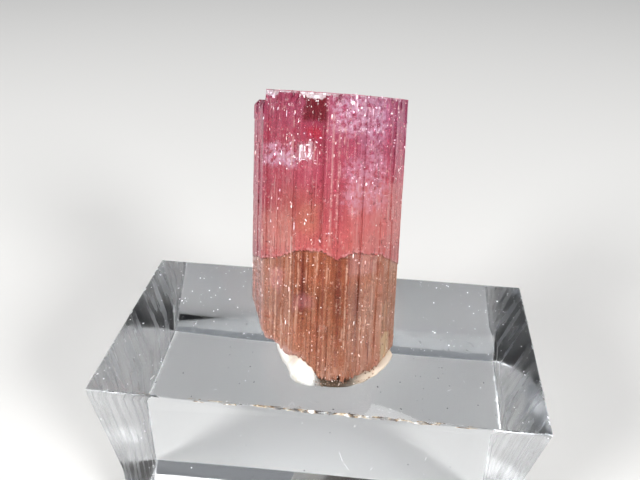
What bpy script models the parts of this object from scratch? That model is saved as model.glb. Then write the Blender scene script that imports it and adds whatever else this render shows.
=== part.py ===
"""A two-coloured tourmaline crystal, stood in a dab of putty on a clear acrylic display block.

Metres, +Z up, front towards -Y. The origin is the centre of the block's underside.
Each real piece is one object: tourmaline_crystal, mounting_putty and display_block.
"""

import math
import random

import bmesh
import bpy
from mathutils import Euler, Matrix, Vector, noise

MM = 0.001
GAP = 0.3 * MM  # left between pieces that touch

# Display block: a flat top with a thin square rim, sides that draw in below it, then a straight foot
BLOCK_WIDTH = 38.1 * MM
BLOCK_DEPTH = 19.8 * MM
BLOCK_HEIGHT = 19.05 * MM
RIM_HEIGHT = 0.7 * MM
DRAWN_IN_HEIGHT = 10.6 * MM  # from the top down to where the straight foot starts
DRAW_LEFT = 1.4 * MM
DRAW_RIGHT = 2.1 * MM
DRAW_FRONT_AND_BACK = 0.6 * MM
BLOCK_EDGE_ROUND = 0.18 * MM

# Crystal: its own frame has X across, Y from front to back and Z up its axis from the block's top
CRYSTAL_LENGTH = 21.9 * MM
CRYSTAL_HALF_WIDTH = 6.55 * MM
CRYSTAL_HALF_DEPTH = 6.1 * MM
CRYSTAL_FOOT = Vector((-0.25 * MM, -0.35 * MM, BLOCK_HEIGHT))
LEAN_BACK = math.radians(20.8)
LEAN_LEFT = math.radians(0.95)
CRYSTAL_TURN = Euler((-LEAN_BACK, -LEAN_LEFT, 0.0)).to_matrix()

# The prism's corners, as shares of its half width and half depth, anticlockwise from above
PRISM_CORNERS = (
    (-0.96, -0.24),
    (-0.75, -0.66),
    (-0.28, -0.97),
    (0.40, -0.98),
    (0.82, -0.62),
    (0.985, -0.22),
    (0.96, 0.28),
    (0.64, 0.74),
    (0.10, 1.00),
    (-0.42, 0.88),
    (-0.85, 0.50),
)
RIB_PITCH = 0.52 * MM
RIB_RELIEF = 0.17 * MM
RIB_CHANGE = 0.25  # the share of the ribs that change at a growth step
RIB_SEED = 11

# The line across the prism where the brown foot ends and the pink cap, a hair wider, begins:
# places across it and heights on the axis, in millimetres
COLOUR_LINE = ((-6.6, 7.5), (-3.4, 8.3), (-1.6, 9.2), (0.4, 9.2), (1.6, 8.6), (3.0, 9.2), (5.2, 8.8), (6.6, 7.5))
PINK_OVERHANG = 0.06 * MM

# Growth steps: from each of these heights up, some of the ribs stand out more or less
STEPS_IN_BROWN = (2.9 * MM, 5.4 * MM)
STEPS_IN_PINK = (11.6 * MM, 14.8 * MM, 17.6 * MM, 19.6 * MM)
STEP_RISE = 0.10 * MM

# Top face: square to the axis, a little lower on the right, chipped along its rim
TOP_FALL = 0.035  # drop for each unit across
CHIP_DEPTH = 0.40 * MM
SHOULDER_ACROSS = -4.9 * MM  # the column left of here stands lower
SHOULDER_DROP = 0.85 * MM
SHOULDER_ROUND = 0.35 * MM

# Broken foot: a rough break that climbs to the left, kept clear of the block; millimetres as above
BREAK_LINE = ((-6.6, 4.1), (-5.6, 2.3), (-4.5, 0.9), (-2.5, 0.3), (-1.2, -0.1), (-0.1, -0.9), (0.7, -2.0), (2.0, -2.6), (6.6, -2.6))
SPLINTER = 0.40 * MM
FOOT_INSET = 0.10 * MM  # from the plain outline to where the ribs' ends have died out under the foot
FOOT_CLEARANCE = GAP + 0.05 * MM  # at the front edge
FOOT_HOLLOW = 1.3 * MM  # how far the break stands off the block behind that edge, over the putty
HOLLOW_START = -1.2 * MM  # from front to back, where the hollow begins
HOLLOW_RUN = 1.8 * MM

# Putty: a squashed lump under the break, showing as a lobe on the left and a smaller one on the right
PUTTY_CENTRE = Vector((1.4 * MM, -0.2 * MM, BLOCK_HEIGHT + GAP))
PUTTY_HEIGHT = 3.2 * MM
PUTTY_SQUARENESS = 0.72  # under 1, the lump's sides stand steeper than a ball's
# Its outline on the block as points from PUTTY_CENTRE, anticlockwise from above, in millimetres
PUTTY_OUTLINE = (
    (-5.3, 2.6),
    (-5.8, 0.0),
    (-5.5, -2.5),
    (-4.5, -4.6),
    (-3.1, -6.5),
    (-2.1, -6.8),
    (-1.3, -6.2),
    (-0.5, -5.8),
    (0.9, -5.6),
    (2.6, -4.4),
    (4.0, -2.9),
    (4.5, -1.5),
    (4.4, 1.0),
    (3.8, 3.6),
    (1.6, 5.6),
    (-2.4, 5.5),
)
PUTTY_LUMP = 0.22 * MM
SEAT_CLEARANCE = GAP + RIB_RELIEF + 0.12 * MM  # from the prism's plain outline to the putty


def clear_scene():
    for obj in list(bpy.data.objects):
        bpy.data.objects.remove(obj, do_unlink=True)


def make_collection(name):
    collection = bpy.data.collections.new(name)
    bpy.context.scene.collection.children.link(collection)
    return collection


def make_material(name, colour, roughness, transmission=0.0, ior=1.5):
    material = bpy.data.materials.new(name)
    material.use_nodes = True
    shader = material.node_tree.nodes["Principled BSDF"]
    shader.inputs["Base Color"].default_value = (*colour, 1.0)
    shader.inputs["Roughness"].default_value = roughness
    shader.inputs["Metallic"].default_value = 0.0
    shader.inputs["Transmission Weight"].default_value = transmission
    shader.inputs["IOR"].default_value = ior
    return material


def make_object(name, bm, collection, material=None):
    mesh = bpy.data.meshes.new(name)
    bmesh.ops.recalc_face_normals(bm, faces=bm.faces)
    bm.to_mesh(mesh)
    bm.free()
    obj = bpy.data.objects.new(name, mesh)
    if material:
        mesh.materials.append(material)
    collection.objects.link(obj)
    return obj


# ---- Display block ----


def build_block(collection):
    """A cuboid cut round at the rim and at the foot, with everything below the rim drawn in."""
    bm = bmesh.new()
    bmesh.ops.create_cube(bm, size=1.0)
    bmesh.ops.scale(bm, vec=(BLOCK_WIDTH, BLOCK_DEPTH, BLOCK_HEIGHT), verts=bm.verts)
    bmesh.ops.translate(bm, vec=(0, 0, BLOCK_HEIGHT / 2), verts=bm.verts)
    foot_top = BLOCK_HEIGHT - DRAWN_IN_HEIGHT
    for height in (BLOCK_HEIGHT - RIM_HEIGHT, foot_top):
        whole = bm.verts[:] + bm.edges[:] + bm.faces[:]
        bmesh.ops.bisect_plane(bm, geom=whole, plane_co=(0, 0, height), plane_no=(0, 0, 1))
    for vert in bm.verts:
        if vert.co.z < foot_top + RIM_HEIGHT / 2:
            vert.co.x += DRAW_LEFT if vert.co.x < 0 else -DRAW_RIGHT
            vert.co.y += DRAW_FRONT_AND_BACK if vert.co.y < 0 else -DRAW_FRONT_AND_BACK
    material = make_material("clear_acrylic", (0.93, 0.95, 0.97), 0.03, transmission=1.0, ior=1.49)
    block = make_object("display_block", bm, collection, material)
    rounding = block.modifiers.new("edge_round", "BEVEL")
    rounding.width = BLOCK_EDGE_ROUND
    rounding.segments = 2
    rounding.limit_method = "ANGLE"
    rounding.angle_limit = math.radians(30)
    return block


# ---- Tourmaline crystal ----


def prism_outline(grow):
    """The corners of the prism's section, pushed out by grow."""
    wide = CRYSTAL_HALF_WIDTH + grow
    deep = CRYSTAL_HALF_DEPTH + grow
    return [Vector((across * wide, back * deep)) for across, back in PRISM_CORNERS]


def rib_edges():
    """Each rib's two edges on the section: its start, its end, the way out and its number."""
    chance = random.Random(RIB_SEED)
    corners = prism_outline(0.0)
    ribs = []
    for start, end in zip(corners, corners[1:] + corners[:1]):
        side = end - start
        out = Vector((side.y, -side.x)).normalized()
        count = max(2, round(side.length / RIB_PITCH))
        widths = [chance.uniform(0.5, 1.5) for _ in range(count)]
        reach = 0.0
        for width in widths:
            first = start + side * (reach / sum(widths))
            reach += width
            last = start + side * (reach / sum(widths))
            ribs.append((first, last, out, len(ribs)))
    return ribs


def rib_relief(rib_count, band_count):
    """relief[band][rib]: how far each rib stands out between one growth step and the next."""
    chance = random.Random(RIB_SEED + 1)
    bands = [[chance.uniform(0.0, RIB_RELIEF) for _ in range(rib_count)]]
    while len(bands) < band_count:
        changed = [chance.random() < RIB_CHANGE for _ in range(rib_count)]
        below = bands[-1]
        bands.append([chance.uniform(0.0, RIB_RELIEF) if new else old for old, new in zip(below, changed)])
    return bands


def height_on(line, across):
    """The height of a line across the prism, given by points in millimetres."""
    place = min(max(across / MM, line[0][0]), line[-1][0])
    for (left, low), (right, high) in zip(line, line[1:]):
        if place <= right:
            return (low + (high - low) * (place - left) / (right - left)) * MM


def clearance_height(across, back, clearance):
    """The height on the axis at which this line of the prism is clearance above the block."""
    sideways = CRYSTAL_TURN[2][0] * across + CRYSTAL_TURN[2][1] * back
    return (clearance - sideways) / CRYSTAL_TURN[2][2]


def foot_height(across, back, splinter):
    """The break's height: the torn line seen from the front, or the hollow over the putty if higher."""
    rough = SPLINTER * noise.noise(Vector((across, back, 0.0)) / (1.6 * MM))
    torn = height_on(BREAK_LINE, across) + rough + splinter
    hollow = FOOT_HOLLOW * min(max((back - HOLLOW_START) / HOLLOW_RUN, 0.0), 1.0)
    return max(torn, clearance_height(across, back, FOOT_CLEARANCE + hollow + splinter / 4))


def top_height(across):
    return CRYSTAL_LENGTH - TOP_FALL * (across + CRYSTAL_HALF_WIDTH / 2)


def add_ring(bm, places):
    return [bm.verts.new(place) for place in places]


def join_rings(bm, lower, upper):
    """Closes the band between two rings of as many points."""
    for i, vert in enumerate(lower):
        after = (i + 1) % len(lower)
        bm.faces.new((vert, lower[after], upper[after], upper[i]))


def close_cap(bm, ring, share_and_height):
    """Closes a ring with rings inside it, each at a share of its size, and a point at the middle."""
    outer = ring
    for share, height_at in share_and_height:
        places = [(v.co.x * share, v.co.y * share, height_at(v.co.x * share, v.co.y * share)) for v in ring]
        inner = add_ring(bm, places)
        join_rings(bm, outer, inner)
        outer = inner
    middle = bm.verts.new((0.0, 0.0, share_and_height[-1][1](0.0, 0.0)))
    for i, vert in enumerate(outer):
        bm.faces.new((vert, outer[(i + 1) % len(outer)], middle))


def close_top(bm, rim):
    """Closes the top face: the chipped rim, the low shoulder on the left with its wall, and the flat."""
    outer = rim
    for share, raised in ((0.97, False), (0.94, False), (0.93, True)):
        ring = []
        for vert in rim:
            x, y = vert.co.x * share, vert.co.y * share
            on_shoulder = vert.co.x < SHOULDER_ACROSS
            height = top_height(x)
            if on_shoulder and not raised:
                height -= SHOULDER_DROP
            if on_shoulder and share < 0.97:
                x = SHOULDER_ACROSS * (1.01 if not raised else 0.99)
            ring.append((x, y, height))
        ring = add_ring(bm, ring)
        join_rings(bm, outer, ring)
        outer = ring
    bm.faces.new(outer)


def build_crystal(collection):
    """A ribbed prism: rings of rib edges up the axis, a chipped top face and a broken foot."""
    ribs = rib_edges()
    bands = rib_relief(len(ribs), len(STEPS_IN_BROWN) + len(STEPS_IN_PINK) + 2)
    chance = random.Random(RIB_SEED + 2)
    splinters = [chance.uniform(0.0, SPLINTER) for _ in ribs]
    chips = [chance.choice((0.0, 0.0, 0.2, 0.5, 1.0)) * CHIP_DEPTH for _ in ribs]

    def ring_places(height_at, band, overhang=0.0, chipped=False):
        found = []
        for (first, last, out, number), relief in zip(ribs, bands[band]):
            for edge in (first, last):
                stand = relief + overhang - (chips[number] if chipped else 0.0)
                if chipped and edge.x < SHOULDER_ACROSS:
                    stand -= SHOULDER_ROUND
                spot = edge + out * stand
                found.append((spot.x, spot.y, height_at(spot.x, spot.y, number)))
        return found

    def rim_height(x, y, number):
        return top_height(x) - chips[number] - (SHOULDER_DROP if x < SHOULDER_ACROSS else 0.0)

    def under_rim_height(x, y, number):
        return rim_height(x, y, number) - chips[number] - (SHOULDER_ROUND if x < SHOULDER_ACROSS else STEP_RISE)

    def foot_ring_height(x, y, number):
        return foot_height(x, y, splinters[number])

    def brown_step(height):
        return lambda x, y, n: max(height, foot_ring_height(x, y, n) + 2 * STEP_RISE)

    steps = [(brown_step(height), 0.0, 0.0) for height in STEPS_IN_BROWN]
    steps.append((lambda x, y, n: height_on(COLOUR_LINE, x), 0.0, PINK_OVERHANG))
    steps += [(lambda x, y, n, h=height: h, PINK_OVERHANG, PINK_OVERHANG) for height in STEPS_IN_PINK]

    bm = bmesh.new()
    foot = add_ring(bm, ring_places(foot_ring_height, 0))
    outer = foot
    for band, (height_at, below, above) in enumerate(steps):
        under = lambda x, y, n, at=height_at: at(x, y, n) - STEP_RISE
        for ring in (ring_places(under, band, below), ring_places(height_at, band + 1, above)):
            ring = add_ring(bm, ring)
            join_rings(bm, outer, ring)
            outer = ring
    for height_at, chipped in ((under_rim_height, False), (rim_height, True)):
        ring = add_ring(bm, ring_places(height_at, len(steps), PINK_OVERHANG, chipped))
        join_rings(bm, outer, ring)
        outer = ring
    close_top(bm, outer)
    bands.append([0.0] * len(ribs))
    inset = add_ring(bm, ring_places(lambda x, y, n: foot_height(x, y, 0.0), -1, -FOOT_INSET))
    join_rings(bm, foot, inset)
    close_cap(bm, inset, [(share, lambda x, y: foot_height(x, y, 0.0)) for share in (0.75, 0.4)])
    bmesh.ops.triangulate(bm, faces=bm.faces)
    material = make_material("pink_and_brown_tourmaline", (0.72, 0.30, 0.28), 0.18, transmission=0.7, ior=1.63)
    crystal = make_object("tourmaline_crystal", bm, collection, material)
    crystal.location = CRYSTAL_FOOT
    crystal.rotation_euler = CRYSTAL_TURN.to_euler()
    return crystal


def build_crystal_mould(collection):
    """The plain prism, larger by the gap all round and below: it hollows the putty's seat."""
    outline = prism_outline(SEAT_CLEARANCE)
    shares = [i / 6 for i in range(6)]
    around = [a.lerp(b, share) for a, b in zip(outline, outline[1:] + outline[:1]) for share in shares]

    def seat_height(across, back):
        return foot_height(across, back, 0.0) - GAP / math.cos(LEAN_BACK) - 0.05 * MM

    bm = bmesh.new()
    foot = add_ring(bm, [(p.x, p.y, seat_height(p.x, p.y)) for p in around])
    top = add_ring(bm, [(p.x, p.y, STEPS_IN_PINK[0]) for p in around])
    join_rings(bm, foot, top)
    close_cap(bm, foot, [(share, seat_height) for share in (0.75, 0.4)])
    bm.faces.new(top)
    bmesh.ops.triangulate(bm, faces=bm.faces)
    mould = make_object("crystal_mould", bm, collection)
    mould.location = CRYSTAL_FOOT
    mould.rotation_euler = CRYSTAL_TURN.to_euler()
    mould.hide_render = True
    mould.display_type = "WIRE"
    return mould


# ---- Mounting putty ----


def putty_reach(angle):
    """How far the lump spreads this way round from its centre."""
    polar = [(math.atan2(y, x), math.hypot(x, y)) for x, y in PUTTY_OUTLINE]
    for (start, near), (end, far) in zip(polar, polar[1:] + polar[:1]):
        run = (end - start) % math.tau
        along = (angle - start) % math.tau
        if along <= run:
            return (near + (far - near) * along / run) * MM


def putty_point(direction):
    """Where the lump's skin lies this way from its centre."""
    lump = PUTTY_LUMP * noise.noise(direction * 1.7 + Vector((3.1, 0.4, 1.2)))
    level = math.hypot(direction.x, direction.y)
    angle = math.atan2(direction.y, direction.x)
    spread = level**PUTTY_SQUARENESS * putty_reach(angle)
    place = Vector((spread * math.cos(angle), spread * math.sin(angle), direction.z * PUTTY_HEIGHT))
    return PUTTY_CENTRE + place + direction * lump


def build_putty(collection, mould):
    """A lumpy dome, flat underneath, with the crystal's foot pressed into it."""
    bm = bmesh.new()
    bmesh.ops.create_uvsphere(bm, u_segments=28, v_segments=16, radius=1.0)
    for vert in bm.verts:
        vert.co = putty_point(vert.co.normalized())
    whole = bm.verts[:] + bm.edges[:] + bm.faces[:]
    bmesh.ops.bisect_plane(bm, geom=whole, plane_co=PUTTY_CENTRE, plane_no=(0, 0, 1), clear_inner=True)
    bmesh.ops.holes_fill(bm, edges=[edge for edge in bm.edges if edge.is_boundary])
    bmesh.ops.triangulate(bm, faces=bm.faces)
    putty = make_object("mounting_putty", bm, collection, make_material("putty", (0.86, 0.84, 0.80), 0.55))
    seat = putty.modifiers.new("crystal_seat", "BOOLEAN")
    seat.operation = "DIFFERENCE"
    seat.solver = "EXACT"
    seat.object = mould
    return putty


clear_scene()
pieces = make_collection("tourmaline_on_block")
cutters = make_collection("cutters")
build_block(pieces)
build_crystal(pieces)
build_putty(pieces, build_crystal_mould(cutters))
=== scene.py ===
"""A pink and brown tourmaline crystal, set in putty on a clear acrylic display block."""

import math
import random

import bmesh
import bpy
from mathutils import Euler, Matrix, Vector, noise
from mathutils.bvhtree import BVHTree


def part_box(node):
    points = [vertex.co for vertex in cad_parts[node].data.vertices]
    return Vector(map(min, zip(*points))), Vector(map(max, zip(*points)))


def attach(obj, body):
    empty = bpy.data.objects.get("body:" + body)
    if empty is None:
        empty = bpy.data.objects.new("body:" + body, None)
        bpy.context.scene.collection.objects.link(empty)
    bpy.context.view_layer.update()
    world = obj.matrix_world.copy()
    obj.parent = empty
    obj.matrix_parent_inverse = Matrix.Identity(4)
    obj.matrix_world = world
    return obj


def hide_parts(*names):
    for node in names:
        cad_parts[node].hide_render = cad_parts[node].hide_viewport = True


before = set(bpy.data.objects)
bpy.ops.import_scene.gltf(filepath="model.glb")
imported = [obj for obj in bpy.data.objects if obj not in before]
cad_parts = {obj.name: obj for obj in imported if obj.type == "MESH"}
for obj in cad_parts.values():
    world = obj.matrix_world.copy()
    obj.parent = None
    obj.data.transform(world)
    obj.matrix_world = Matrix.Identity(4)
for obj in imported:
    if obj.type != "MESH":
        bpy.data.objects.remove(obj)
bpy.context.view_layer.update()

# ---- The display block ----
# A small block of clear cast acrylic: flat polished top with a thin square rim, sides that
# draw in below it and a straight foot. It was sawn, flamed and handled, so its edges are
# rounded and nicked, its faces hold fine scratches, and dust sits on top.

MM = 0.001
PER_MM2 = 1e6
block_low, block_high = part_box("display_block")
BLOCK_TOP = block_high.z
BLOCK_RIM = 0.7 * MM
BLOCK_DRAWN_IN = 10.6 * MM
BLOCK_DRAW_LEFT = 1.4 * MM
BLOCK_DRAW_RIGHT = 2.1 * MM
BLOCK_DRAW_FRONT_AND_BACK = 0.6 * MM
BLOCK_EDGE = 0.2 * MM
SAME_PLACE = 0.0001 * MM
ACRYLIC_CLEAR = (0.965, 0.975, 0.985)
ACRYLIC_TINT = (0.80, 0.86, 0.92)
ACRYLIC_DENSITY = 6.0
END_BAND = (18.6, 18.9)  # mm from the middle
END_ROUGHNESS = 0.12
STREAK_ROUGHNESS = 0.20


def arithmetic(operation):
    return lambda wire, other: wire.math(operation, other)


class Wire:
    """An output in a node tree. Arithmetic on it adds Math nodes."""

    __add__ = __radd__ = arithmetic("ADD")
    __mul__ = __rmul__ = arithmetic("MULTIPLY")
    __sub__ = arithmetic("SUBTRACT")
    __truediv__ = arithmetic("DIVIDE")
    __pow__ = arithmetic("POWER")

    def __init__(self, work, socket):
        self.work = work
        self.socket = socket

    def math(self, operation, other):
        return self.work.node("ShaderNodeMath", {"operation": operation}, {0: self, 1: other})

    def __rsub__(self, other):
        return self * -1 + other

    def between(self, low, high):
        """0 below low, 1 above high, smooth from one to the other."""
        smooth = {"interpolation_type": "SMOOTHSTEP"}
        return self.work.node("ShaderNodeMapRange", smooth, {0: self, 1: low, 2: high})

    def blend(self, first, second):
        """The first colour where this is 0, and the second where it is 1."""
        return self.work.node("ShaderNodeMix", {"data_type": "RGBA"}, {0: self, 6: first, 7: second}, out=2)

    def scale(self, factor):
        return self.work.node("ShaderNodeVectorMath", {"operation": "SCALE"}, {0: self, 3: factor})


class Workshop:
    """A node tree being wired, for a finish or for Geometry Nodes."""

    def __init__(self, tree):
        self.tree = tree

    def node(self, kind, settings=None, sockets=None, out=0):
        node = self.tree.nodes.new(kind)
        for name, value in (settings or {}).items():
            if name == "stops":
                self.set_stops(node.color_ramp, value)
            else:
                setattr(node, name, value)
        for name, value in (sockets or {}).items():
            self.put(node.inputs[name], value)
        if node.outputs:
            return Wire(self, node.outputs[out])

    def put(self, socket, value):
        if isinstance(value, Wire):
            self.tree.links.new(value.socket, socket)
        else:
            socket.default_value = (*value, 1.0) if socket.type == "RGBA" else value

    def set_stops(self, ramp, stops):
        while len(ramp.elements) < len(stops):
            ramp.elements.new(1.0)
        for element, (place, value) in zip(ramp.elements, stops):
            element.position = place
            element.color = (*value, 1.0) if isinstance(value, tuple) else (value, value, value, 1.0)

    def ramp(self, value, *stops):
        return self.node("ShaderNodeValToRGB", {"stops": stops}, {"Fac": value})

    def point(self, x, y, z=0.0):
        return self.node("ShaderNodeCombineXYZ", {}, {0: x, 1: y, 2: z})

    def parts(self, vector):
        apart = self.node("ShaderNodeSeparateXYZ", {}, {0: vector})
        return [Wire(self, socket) for socket in apart.socket.node.outputs]

    def grain(self, place, scale, detail=2.0, roughness=0.5):
        sockets = {"Vector": place, "Scale": scale, "Detail": detail, "Roughness": roughness}
        return self.node("ShaderNodeTexNoise", {}, sockets)

    def tablets(self, place):
        """Oblong fields, each with a tone of its own."""
        sockets = {"Vector": place, "Scale": 1.0}
        return self.node("ShaderNodeTexVoronoi", {"distance": "CHEBYCHEV"}, sockets, out=1)

    def patch(self, across, up, left, right, low, high, soft):
        """1 inside a soft-edged patch of the face, 0 outside it."""
        sides = across.between(left - soft, left + soft) * (1 - across.between(right - soft, right + soft))
        return sides * up.between(low - soft, low + soft) * (1 - up.between(high - soft, high + soft))

    def patches(self, across, up, *rows):
        """The sum of patches, each row ending in its strength."""
        total = 0.0
        for *edges, strength in rows:
            total = self.patch(across, up, *edges) * strength + total
        return total


class Finish(Workshop):
    """A material: its Principled shader, and the nodes that feed it."""

    def __init__(self, name, **plain):
        self.material = bpy.data.materials.new(name)
        self.material.use_nodes = True
        super().__init__(self.material.node_tree)
        self.shader = self.tree.nodes["Principled BSDF"]
        self.set(**plain)

    def set(self, **sockets):
        for name, value in sockets.items():
            self.put(self.shader.inputs[name.replace("_", " ")], value)

    def place(self):
        """The point on the piece, in mm."""
        return self.node("ShaderNodeTexCoord", out="Object").scale(1.0 / MM)

    def raised(self, height, distance):
        return self.node("ShaderNodeBump", {}, {"Strength": 0.5, "Distance": distance, "Height": height})

    def soak(self, colour, density):
        """Fills the piece with a plain absorbing colour."""
        absorbing = self.node("ShaderNodeVolumeAbsorption", {}, {"Color": colour, "Density": density})
        self.tree.links.new(absorbing.socket, self.tree.nodes["Material Output"].inputs["Volume"])


def plain_mesh(name, bm):
    mesh = bpy.data.meshes.new(name)
    bm.to_mesh(mesh)
    bm.free()
    return mesh


def piece_of(mesh, name):
    """Makes a finished mesh a piece that rides with the object."""
    mesh.name = name
    piece = bpy.data.objects.new(name, mesh)
    bpy.context.scene.collection.objects.link(piece)
    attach(piece, "root")
    return piece


def set_down(name, bm, finish):
    mesh = plain_mesh(name, bm)
    mesh.materials.append(finish.material)
    return piece_of(mesh, name)


class Growth(Workshop):
    """A Geometry Nodes tree with named inputs, run on a mesh and then made plain."""

    KINDS = {float: "NodeSocketFloat", int: "NodeSocketInt"}

    def __init__(self, name, **inputs):
        super().__init__(bpy.data.node_groups.new(name, "GeometryNodeTree"))
        self.values = inputs
        self.tree.interface.new_socket("Geometry", in_out="INPUT", socket_type="NodeSocketGeometry")
        for label, value in inputs.items():
            self.tree.interface.new_socket(label, in_out="INPUT", socket_type=self.KINDS[type(value)])
        self.tree.interface.new_socket("Geometry", in_out="OUTPUT", socket_type="NodeSocketGeometry")
        self.base = self.node("NodeGroupInput")

    def given(self, label):
        return Wire(self, self.base.socket.node.outputs[label])

    def place(self):
        return self.node("GeometryNodeInputPosition")

    def attribute(self, name, kind="FLOAT"):
        return self.node("GeometryNodeInputNamedAttribute", {"data_type": kind}, {"Name": name})

    def chance(self, low, high, seed):
        """A random number for each point."""
        return self.node("FunctionNodeRandomValue", {"data_type": "FLOAT"}, {2: low, 3: high, 8: seed}, out=1)

    def any_turn(self, low, high, seed):
        """A random turn for each point."""
        turn = self.node("FunctionNodeRandomValue", {"data_type": "FLOAT_VECTOR"}, {0: low, 1: high, 8: seed})
        return self.turned(turn)

    def turned(self, angles):
        return self.node("FunctionNodeEulerToRotation", {}, {0: angles})

    def scattered(self, density):
        """Points strewn over the base, this many to the square mm."""
        strewn = {"Mesh": self.base, "Density": density * PER_MM2, "Seed": self.given("Seed")}
        return self.node("GeometryNodeDistributePointsOnFaces", {}, strewn)

    def width(self, power):
        """A width for each grain, most of them near the smallest."""
        spread = self.given("Largest") - self.given("Smallest")
        return self.given("Smallest") + spread * self.chance(0.0, 1.0, 3) ** power

    def grains(self, points, turn, size):
        """A small faceted grain at each point."""
        grain = self.node("GeometryNodeMeshIcoSphere", {}, {"Radius": 1.0, "Subdivisions": 1})
        laid = {"Points": points, "Instance": grain, "Rotation": turn, "Scale": size}
        return self.node("GeometryNodeInstanceOnPoints", {}, laid)

    def finished(self, grown, base, finish):
        """Realises and paints what grew on the base mesh, and returns it as one plain mesh."""
        real = self.node("GeometryNodeRealizeInstances", {}, {"Geometry": grown})
        painted = self.node("GeometryNodeSetMaterial", {}, {"Geometry": real, "Material": finish.material})
        self.node("NodeGroupOutput", {}, {"Geometry": painted})
        bed = bpy.data.objects.new("bed", base)
        bpy.context.scene.collection.objects.link(bed)
        growth = bed.modifiers.new("growth", "NODES")
        growth.node_group = self.tree
        for item in self.tree.interface.items_tree:
            if item.in_out == "INPUT" and item.name in self.values:
                growth[item.identifier] = self.values[item.name]
        evaluated = bed.evaluated_get(bpy.context.evaluated_depsgraph_get())
        mesh = bpy.data.meshes.new_from_object(evaluated)
        bpy.data.objects.remove(bed)
        return mesh


def scratched_acrylic():
    """Clear and polished, but for the two ends, which were sawn and only wiped over."""
    finish = Finish("polished_acrylic", Base_Color=ACRYLIC_CLEAR, Transmission_Weight=1.0, IOR=1.49)
    place = finish.place()
    across, back, height = finish.parts(place)
    smears = finish.grain(place, 0.35, detail=4.0, roughness=0.6)
    reach = (BLOCK_DRAWN_IN - BLOCK_RIM) / MM
    down = (BLOCK_TOP - BLOCK_RIM) / MM - height
    drawn = down.math("MINIMUM", reach).math("MAXIMUM", 0.0) / (BLOCK_DRAWN_IN - BLOCK_RIM)
    right_end = (across + drawn * BLOCK_DRAW_RIGHT).between(*END_BAND)
    left_end = (drawn * BLOCK_DRAW_LEFT - across).between(*END_BAND)
    streaks = finish.grain(finish.point(back, height * 0.07), 0.8, detail=3.0).between(0.34, 0.66)
    sawn = (right_end + left_end) * (streaks * STREAK_ROUGHNESS + END_ROUGHNESS)
    finish.set(Roughness=smears.between(0.45, 0.8) * 0.05 + sawn + 0.01)
    finish.soak(ACRYLIC_TINT, ACRYLIC_DENSITY)
    return finish


def build_block():
    bm = bmesh.new()
    bmesh.ops.create_cube(bm, size=1.0)
    bmesh.ops.scale(bm, vec=block_high - block_low, verts=bm.verts)
    bmesh.ops.translate(bm, vec=(block_low + block_high) / 2, verts=bm.verts)
    foot_top = BLOCK_TOP - BLOCK_DRAWN_IN
    for height in (BLOCK_TOP - BLOCK_RIM, foot_top):
        whole = bm.verts[:] + bm.edges[:] + bm.faces[:]
        bmesh.ops.bisect_plane(bm, geom=whole, plane_co=(0, 0, height), plane_no=(0, 0, 1))
    for vert in bm.verts:
        if vert.co.z < foot_top + BLOCK_RIM / 2:
            vert.co.x += BLOCK_DRAW_LEFT if vert.co.x < 0 else -BLOCK_DRAW_RIGHT
            vert.co.y += BLOCK_DRAW_FRONT_AND_BACK if vert.co.y < 0 else -BLOCK_DRAW_FRONT_AND_BACK
    sharp = [edge for edge in bm.edges if edge.calc_face_angle(0.0) > math.radians(30)]
    bmesh.ops.bevel(bm, geom=sharp, offset=BLOCK_EDGE, segments=4, profile=0.5, affect="EDGES")
    bmesh.ops.remove_doubles(bm, verts=bm.verts, dist=SAME_PLACE)
    bmesh.ops.recalc_face_normals(bm, faces=bm.faces)
    return bm


SCRATCHES_ON_TOP = (  # across, back from the front edge, length (mm), turn (degrees)
    (-1.75, 0.60, 0.45, 60), (-1.45, 0.62, 0.40, -60), (-0.95, 0.40, 0.35, -45), (-13.9, 2.1, 0.55, 70),
    (-8.2, 1.4, 0.30, 20), (6.4, 1.1, 0.35, -25), (11.2, 3.9, 0.40, 35),
)
SCRATCHES_IN_FRONT = (  # across, down from the top, length (mm), turn (degrees)
    (2.55, 5.3, 1.15, 105), (3.05, 6.6, 0.85, 120), (5.2, 6.5, 0.30, 60), (-6.0, 3.9, 0.16, 30),
    (-0.7, 1.5, 0.18, 90), (3.6, 1.2, 0.22, 60), (9.6, 4.4, 0.35, 80),
)
SCRATCH_WIDTH = 0.045 * MM
SCRATCH_LIP = 0.02 * MM
EDGE_NICKS = 120
EDGE_NICK_RUN = (-14.0, 16.0, 3.0)  # mm across, with the thick of them last
EDGE_NICK_LENGTH = (0.05, 1.3)  # mm
EDGE_NICK_WIDTH = (0.02, 0.07)
CHIP_WHITE = (0.95, 0.95, 0.97)
CHIP_BRONZE = (
    (0.42, (0.03, 0.02, 0.015)), (0.50, (0.26, 0.17, 0.09)),
    (0.56, (0.62, 0.50, 0.34)), (0.64, (0.97, 0.97, 0.99)),
)
DUST_DARK = (0.10, 0.10, 0.11)
DUST_PALE = (0.97, 0.97, 1.0)


def chipped_acrylic():
    """Torn-up acrylic turns white, with a warm glint where light comes through the chip."""
    finish = Finish("chipped_acrylic", Coat_Weight=0.3)
    grain = finish.grain(finish.place(), 1.7)
    _, back, height = finish.parts(finish.place())
    from_edge = back - block_low.y / MM - (height - BLOCK_TOP / MM)
    finish.set(Base_Color=from_edge.between(0.42, 0.55).blend(finish.ramp(grain, *CHIP_BRONZE), CHIP_WHITE))
    finish.set(Roughness=grain * 0.5 + 0.2)
    return finish


def raise_splinter(bm, corners, tip):
    """A low four-sided splinter on its bed of corners."""
    corners = [bm.verts.new(corner) for corner in corners]
    tip = bm.verts.new(tip)
    for one, other in zip(corners, corners[1:] + corners[:1]):
        bm.faces.new((one, other, tip))
    bm.faces.new(list(reversed(corners)))


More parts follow.
